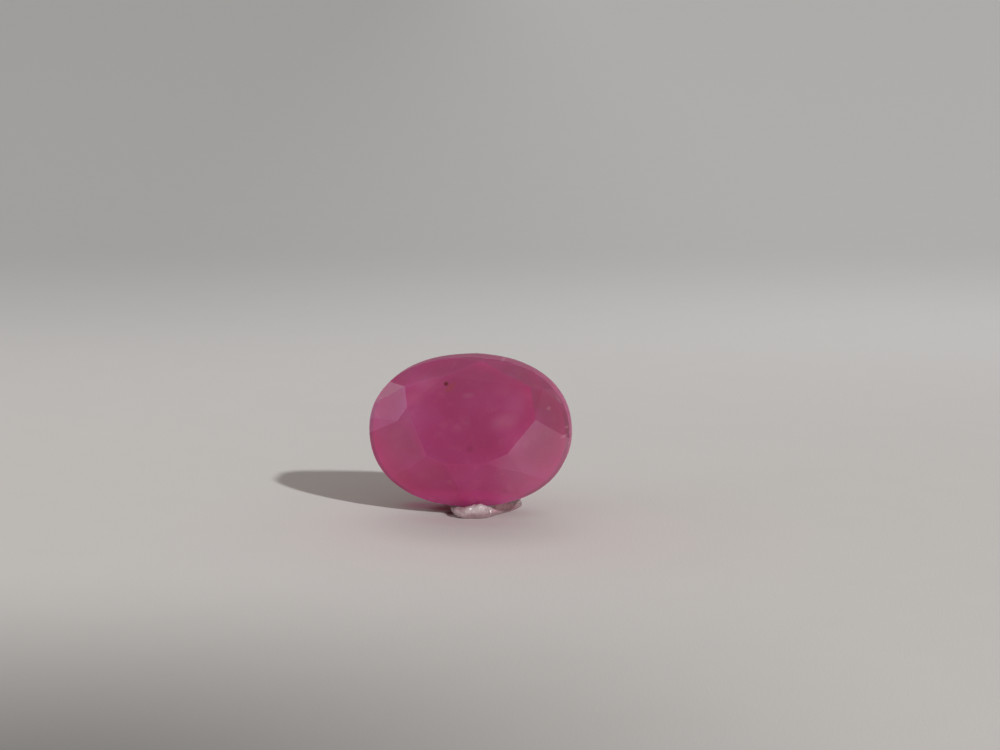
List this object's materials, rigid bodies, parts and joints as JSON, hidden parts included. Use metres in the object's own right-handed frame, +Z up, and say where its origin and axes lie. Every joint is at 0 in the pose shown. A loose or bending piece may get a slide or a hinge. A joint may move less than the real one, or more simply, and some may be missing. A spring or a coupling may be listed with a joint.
{
  "type": "oval faceted ruby gemstone",
  "caption": "Oval brilliant-cut cloudy pinkish-red ruby, standing on its long edge in a small dab of clear gel that holds it up for display.",
  "frame": {"origin": "middle of the footprint, on the surface that the gel rests on", "axes": "+X along the stone's length, +Y from the table back to the culet, +Z up; the table faces -Y"},
  "size_m": [0.01, 0.005, 0.0081],
  "materials": {
    "ruby": "polished, cloudy and faintly translucent, with a fine-ground girdle",
    "clear_gel": "clear, glossy and crinkled"
  },
  "bodies": {
    "root": {"ruby": "ruby", "clear_gel_dab": "clear_gel"}
  },
  "joints": []
}
